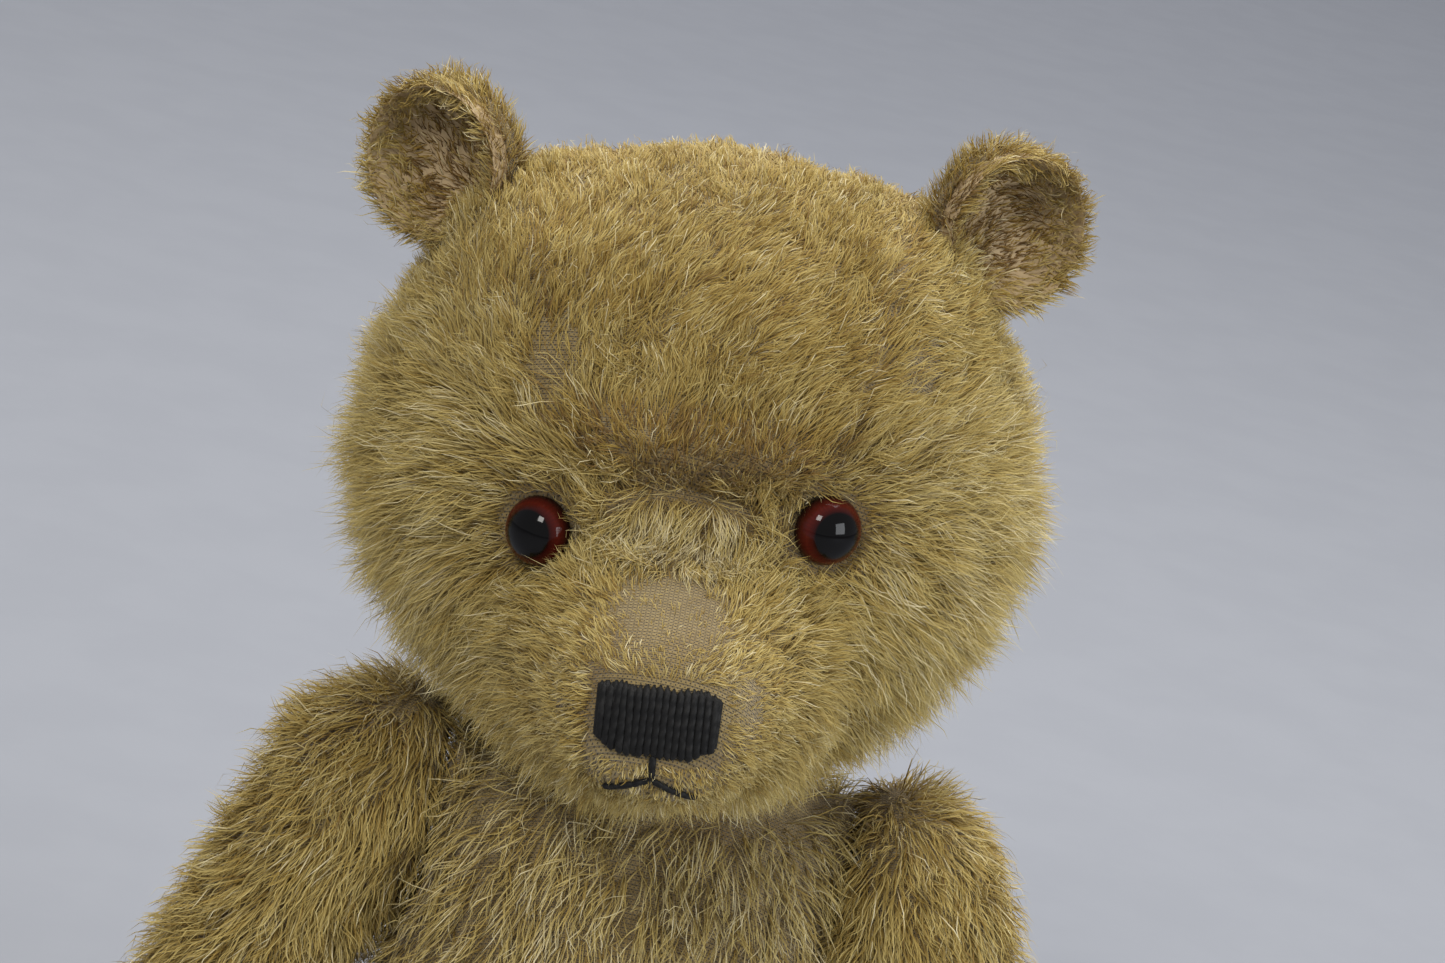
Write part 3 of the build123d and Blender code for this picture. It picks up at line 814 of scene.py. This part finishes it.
class BEAR_OT_arms(bpy.types.Operator):
    """Stuffed arms, combed towards the paws, with felt paw pads"""
    bl_idname = "bear.arms"
    bl_label = "Arms"

    def execute(self, context):
        s = settings()
        for number, (side, sign) in enumerate(SIDES):
            nodes = tuple(f"{side}_arm_{p}" for p in ("outer_panel", "inner_panel", "stuffing"))
            obj = skin(f"{side}_arm_skin", nodes + (f"{side}_paw_pad",), f"{side}_arm", cloth_material(),
                       1.8 * MM, 4, 0.5 * MM, 0.4 * MM)
            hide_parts(*nodes)
            pad = skin(f"{side}_paw_felt", (f"{side}_paw_pad",), f"{side}_arm", felt_material(), 0.7 * MM, 2)
            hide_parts(f"{side}_paw_pad")
            low, high = (np.array(c) * 1000 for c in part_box(f"{side}_paw_pad"))
            middle, half = (low + high) / 2, (high - low) / 2

            def pad_area(p, n, middle=middle, half=half, sign=sign):
                d = (p - middle) / (half + 0.6)
                on_pad = (np.hypot(d[:, 1], d[:, 2]) < 1.0) & (n[:, 0] * sign < 0.25)
                bearing = (n[:, 0] * sign < -0.95) & (np.abs(p[:, 0]) < 34.0)
                return np.clip(on_pad * 0.97 + bearing * 0.9, 0, 1)

            pile(f"{side}_arm_pile", obj, f"{side}_arm",
                 body_rule((0.38 * sign, 0, -1), s.limb_pile, 0.60, pad_area), s.limb_fibres,
                 pile_material(), 41 + number)
        return {"FINISHED"}


class BEAR_OT_legs(bpy.types.Operator):
    """Stuffed legs, combed towards the feet, with felt foot pads"""
    bl_idname = "bear.legs"
    bl_label = "Legs"

    def execute(self, context):
        s = settings()
        for number, (side, sign) in enumerate(SIDES):
            nodes = tuple(f"{side}_leg_{p}" for p in ("outer_panel", "inner_panel", "stuffing"))
            card = f"{side}_insole_card"
            obj = skin(f"{side}_leg_skin", nodes + (card,), f"{side}_leg",
                       cloth_material(), 1.9 * MM, 3, 0.5 * MM, 0.4 * MM)
            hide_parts(*nodes)
            pad = skin(f"{side}_foot_felt", (f"{side}_foot_pad",), f"{side}_leg", felt_material(), 0.8 * MM, 2)
            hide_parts(f"{side}_foot_pad")

            def sole(p, n, sign=sign):
                flat = smooth(n[:, 0] * 0.174 * sign - n[:, 1] * 0.985, 0.8, 0.95) * (p[:, 1] < -80)
                bearing = (n[:, 0] * sign < -0.95) & (np.abs(p[:, 0]) < 34.0)
                under = 1 - smooth(p[:, 2], 1.0, 5.0)
                return np.clip(flat * 0.99 + bearing * 0.9 + under * 0.5, 0, 1)

            pile(f"{side}_leg_pile", obj, f"{side}_leg",
                 body_rule((0.17 * sign, -1, 0.0), s.limb_pile - 1.0, 0.60, sole), s.limb_fibres,
                 pile_material(), 51 + number)
        return {"FINISHED"}


class BEAR_OT_eyes(bpy.types.Operator):
    """Blown glass eyes with painted backs, drawn into the cloth"""
    bl_idname = "bear.eyes"
    bl_label = "Eyes"

    def execute(self, context):
        material = finish_named("amber_eye_glass", eye_finish)
        radius = settings().eye_radius
        for side, sign in SIDES:
            low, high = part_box(f"{side}_eye_iris")
            centre = (low + high) / 2
            low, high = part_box(f"{side}_eye_shank")
            shank = (low + high) / 2
            ahead = (centre - shank).normalized()
            across = ahead.cross(Vector((0, 0, 1))).normalized()
            rise = across.cross(ahead).normalized()
            verts, uv, faces = [tuple(centre + ahead * 4.2 * MM)], [(0.0, 0.5)], []
            rings, around = 22, 64
            for i in range(1, rings + 1):
                share = i / rings
                angle = share * 1.95
                out = radius * math.sin(min(angle, math.pi / 2)) * (1 if angle < 1.57 else 1 - (angle - 1.57) * 0.3)
                up = 4.2 * MM * math.cos(angle) if angle < 1.57 else -(angle - 1.57) * 2.4 * MM
                for k in range(around):
                    turn = 2 * math.pi * k / around
                    verts.append(tuple(centre + ahead * up + (across * math.cos(turn) + rise * math.sin(turn)) * out))
                    uv.append((min(out / radius, 1.0) if angle < 1.57 else 1.0, k / around))
            faces = [(0, 1 + k, 1 + (k + 1) % around) for k in range(around)]
            for i in range(rings - 1):
                a, b = 1 + i * around, 1 + (i + 1) * around
                faces += [(a + k, b + k, b + (k + 1) % around, a + (k + 1) % around) for k in range(around)]
            faces.append(tuple(1 + (rings - 1) * around + k for k in reversed(range(around))))
            obj = joined(f"{side}_eye", [(verts, faces, uv)], material, "head")
            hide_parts(f"{side}_eye_glass", f"{side}_eye_iris", f"{side}_eye_pupil")
        return {"FINISHED"}


class BEAR_OT_nose(bpy.types.Operator):
    """Nose of upright satin stitches and a mouth of three long stitches"""
    bl_idname = "bear.nose"
    bl_label = "Nose and mouth"

    def execute(self, context):
        rng = np.random.default_rng(61)
        bm = bmesh.new()
        bm.from_mesh(bpy.data.objects["head_skin"].data)
        tree = BVHTree.FromBMesh(bm)
        bm.free()
        material = finish_named("black_yarn", yarn_finish)
        half, middle = 8.3, 30.0
        pieces = []
        for layer, count in ((0, 19), (1, 17)):
            for i in range(count):
                x = (-half + 0.45) + (2 * half - 0.9) * (i + (0.5 if layer else 0.0)) / (count - (0 if layer else 1))
                edge = abs(x) / half
                top = middle + 5.2 - 0.5 * edge ** 3 + rng.uniform(-0.35, 0.25) - (0.5 if x > 6.5 else 0)
                bottom = middle - 5.0 + 2.2 * max(edge - 0.55, 0) ** 1.2 / 0.45 + rng.uniform(-0.25, 0.25)
                lean = rng.normal(0, 0.12)
                rows = np.linspace(top, bottom, 12)
                lift = 0.30 + 0.28 * layer
                hits = [on_muzzle(tree, x + lean * (z - middle) / 5, z, lift) for z in rows]
                points = [np.array(h[0]) for h in hits]
                points[0] = points[0] - np.array(hits[0][1]) * 0.6 * MM
                points[-1] = points[-1] - np.array(hits[-1][1]) * 0.6 * MM
                pieces.append(tube(points, [np.array(h[1]) for h in hits], 0.56 * MM, 0.8))
        nose = joined("nose_yarn", pieces, material, "head")
        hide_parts("nose_stitching")
        fork = 21.6
        lines = [((0.0, 25.6), (0.1, fork)), ((0.0, fork + 0.2), (-6.4, 18.6)), ((0.1, fork + 0.2), (6.5, 18.4))]
        pieces = []
        for (x0, z0), (x1, z1) in lines:
            hits = [on_muzzle(tree, x0 + (x1 - x0) * t, z0 + (z1 - z0) * t, 0.35) for t in np.linspace(0, 1, 14)]
            pieces.append(tube([np.array(h[0]) for h in hits], [np.array(h[1]) for h in hits], 0.5 * MM, 0.9))
        mouth = joined("mouth_yarn", pieces, material, "head")
        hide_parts("mouth_stitching")
        return {"FINISHED"}


class BEAR_OT_joints(bpy.types.Operator):
    """Finishes for the discs, washers, pins and shanks inside"""
    bl_idname = "bear.joints"
    bl_label = "Joint hardware"

    def execute(self, context):
        board = finish_named("fibreboard", lambda: plain_finish(
            "fibreboard", (0.40, 0.27, 0.16), (0.26, 0.17, 0.10), 600.0, Roughness=0.9))
        steel = finish_named("dull_steel", lambda: plain_finish(
            "dull_steel", (0.50, 0.49, 0.47), (0.32, 0.30, 0.28), 900.0, Metallic=1.0, Roughness=0.42))
        for name, node in NODES.items():
            if "disc" in name or "card" in name:
                chosen = board
            elif "washer" in name or "pin" in name or "shank" in name:
                chosen = steel
            else:
                continue
            for slot in node.material_slots:
                slot.material = chosen
        return {"FINISHED"}


class BEAR_OT_stage(bpy.types.Operator):
    """Pale sweep, soft lights and the camera"""
    bl_idname = "bear.stage"
    bl_label = "Stage"

    def execute(self, context):
        s = context.scene.bear_stage
        profile = [(-2.4, 0.0), (2.0, 0.0)]
        profile += [(2.0 + 0.5 * math.sin(a), 0.5 - 0.5 * math.cos(a))
                    for a in np.linspace(0.1, math.pi / 2, 12)]
        profile.append((2.5, 2.6))
        verts = [(x, y, z) for y, z in profile for x in (-2.6, 2.6)]
        faces = [(2 * i, 2 * i + 1, 2 * i + 3, 2 * i + 2) for i in range(len(profile) - 1)]
        mesh = bpy.data.meshes.new("sweep")
        mesh.from_pydata(verts, [], faces)
        mesh.shade_smooth()
        sweep = bpy.data.objects.new("sweep", mesh)
        bpy.context.scene.collection.objects.link(sweep)
        paper = plain_finish("grey_paper", (0.32, 0.33, 0.36), (0.33, 0.34, 0.37), 30.0, Roughness=0.95)
        mesh.materials.append(paper)
        bear, paper_behind = (0, 0, 0.14), (0, 1.5, 0)
        lights = (("key", (-0.35, -0.85, 0.95), bear, 0.32, 5.8, (1.0, 0.97, 0.92)),
                  ("fill", (0.85, -0.65, 0.45), bear, 0.5, 5.0, (0.93, 0.96, 1.0)),
                  ("top", (0.1, 0.35, 1.05), bear, 0.7, 8.0, (1.0, 0.99, 0.97)),
                  ("backdrop", (0.0, 1.7, 1.6), paper_behind, 1.4, 14.0, (0.98, 0.98, 1.0)))
        for name, place, aim, size, power, colour in lights:
            data = bpy.data.lights.new(name, "AREA")
            data.size, data.energy, data.color = size, power, colour
            lamp = bpy.data.objects.new(name, data)
            lamp.location = place
            lamp.rotation_euler = (Vector(aim) - Vector(place)).to_track_quat("-Z", "Y").to_euler()
            bpy.context.scene.collection.objects.link(lamp)
        world = bpy.data.worlds.new("studio")
        world.use_nodes = True
        world.node_tree.nodes["Background"].inputs[0].default_value = (0.86, 0.89, 0.95, 1)
        world.node_tree.nodes["Background"].inputs[1].default_value = 0.42
        bpy.context.scene.world = world
        bpy.context.scene.view_settings.view_transform = "Standard"
        data = bpy.data.cameras.new("camera")
        data.lens, data.sensor_width = s.lens, 36.0
        camera = bpy.data.objects.new("camera", data)
        out = Vector((math.sin(s.azimuth) * math.cos(s.elevation), -math.cos(s.azimuth) * math.cos(s.elevation),
                      math.sin(s.elevation)))
        camera.location = Vector(s.target) + out * s.distance
        camera.rotation_euler = (out.to_track_quat("Z", "Y").to_matrix()
                                 @ Matrix.Rotation(s.roll, 3, "Z")).to_euler()
        bpy.context.scene.collection.objects.link(camera)
        bpy.context.scene.camera = camera
        return {"FINISHED"}


class BEAR_PT_panel(bpy.types.Panel):
    """Lists the pieces of the bear"""
    bl_label = "Jointed teddy bear"
    bl_idname = "BEAR_PT_panel"
    bl_space_type = "VIEW_3D"
    bl_region_type = "UI"
    bl_category = "Bear"

    def draw(self, context):
        for cls in OPERATORS:
            self.layout.operator(cls.bl_idname)
        for group in (context.scene.bear, context.scene.bear_stage):
            for name in group.bl_rna.properties.keys():
                if name not in ("rna_type", "name"):
                    self.layout.prop(group, name)


OPERATORS = (BEAR_OT_trunk, BEAR_OT_head, BEAR_OT_ears, BEAR_OT_arms, BEAR_OT_legs, BEAR_OT_eyes,
             BEAR_OT_nose, BEAR_OT_joints, BEAR_OT_stage)
CLASSES = (BearSettings, BearStage) + OPERATORS + (BEAR_PT_panel,)


def register():
    for cls in CLASSES:
        bpy.utils.register_class(cls)
    bpy.types.Scene.bear = bpy.props.PointerProperty(type=BearSettings)
    bpy.types.Scene.bear_stage = bpy.props.PointerProperty(type=BearStage)


def unregister():
    del bpy.types.Scene.bear_stage
    del bpy.types.Scene.bear
    for cls in reversed(CLASSES):
        bpy.utils.unregister_class(cls)


def main():
    register()
    for cls in OPERATORS:
        group, name = cls.bl_idname.split(".")
        getattr(getattr(bpy.ops, group), name)()


if __name__ == "__main__":
    main()
